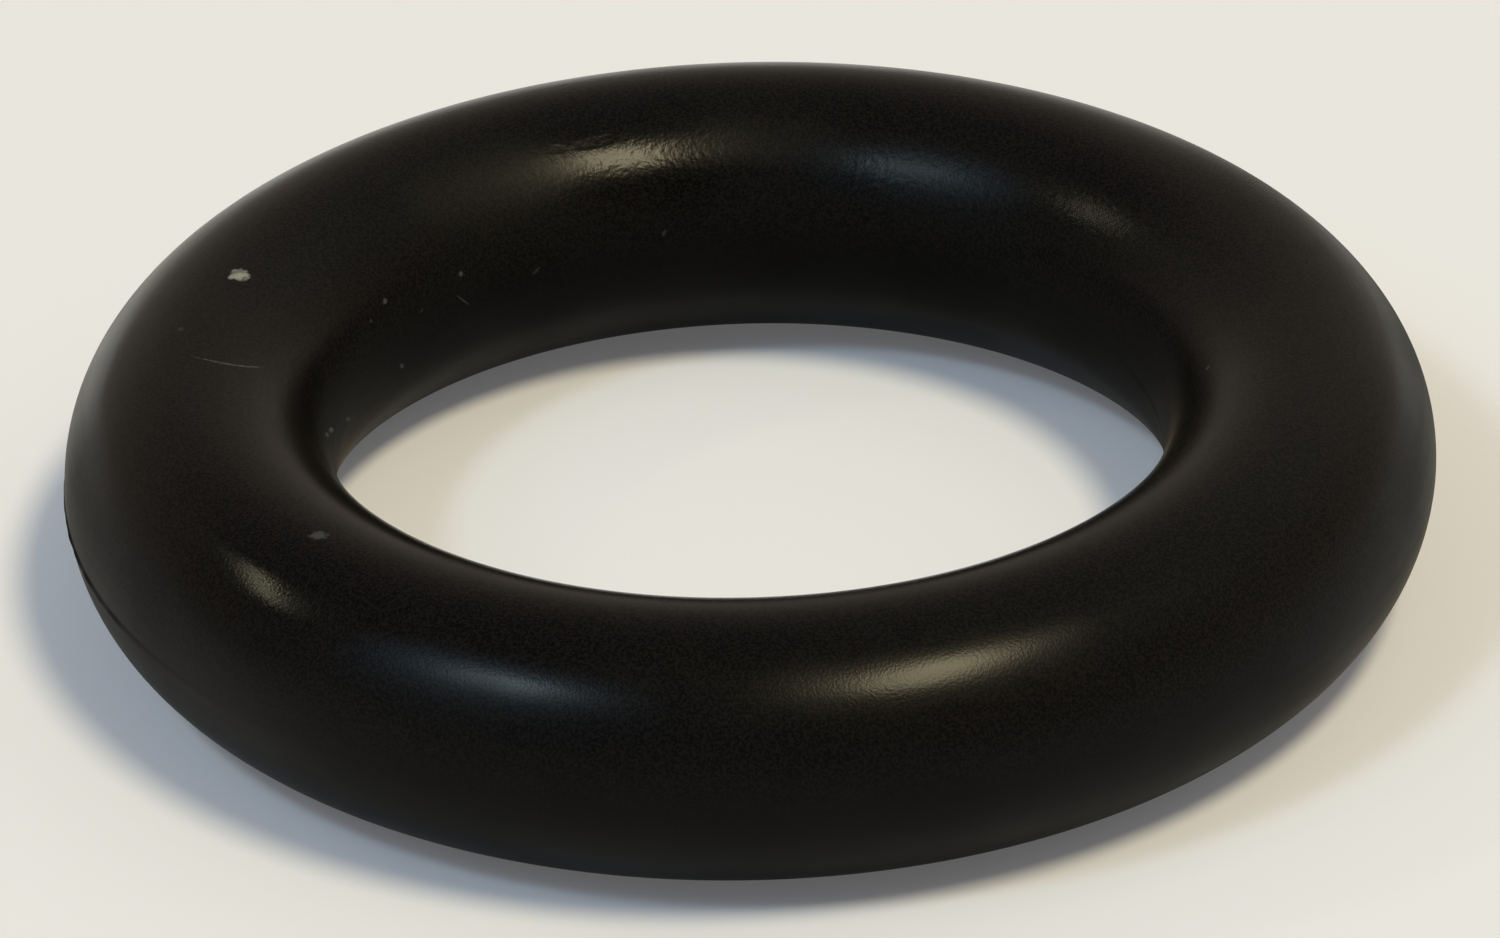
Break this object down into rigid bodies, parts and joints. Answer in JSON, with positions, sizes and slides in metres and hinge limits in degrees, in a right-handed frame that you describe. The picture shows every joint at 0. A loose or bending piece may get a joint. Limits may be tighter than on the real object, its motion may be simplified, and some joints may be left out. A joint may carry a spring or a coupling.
{
  "type": "o-ring",
  "caption": "Round rubber sealing ring with a circular section and a fine moulding ridge on its inner and outer walls.",
  "frame": {"origin": "middle of the ring, on its axis and halfway up its section", "axes": "+Z along the ring's axis, square to the plane in which it lies; X and Y lie in that plane"},
  "size_m": [0.0178, 0.0178, 0.0036],
  "materials": {
    "rubber": "satin"
  },
  "bodies": {
    "root": {"o_ring": "rubber"}
  },
  "joints": []
}
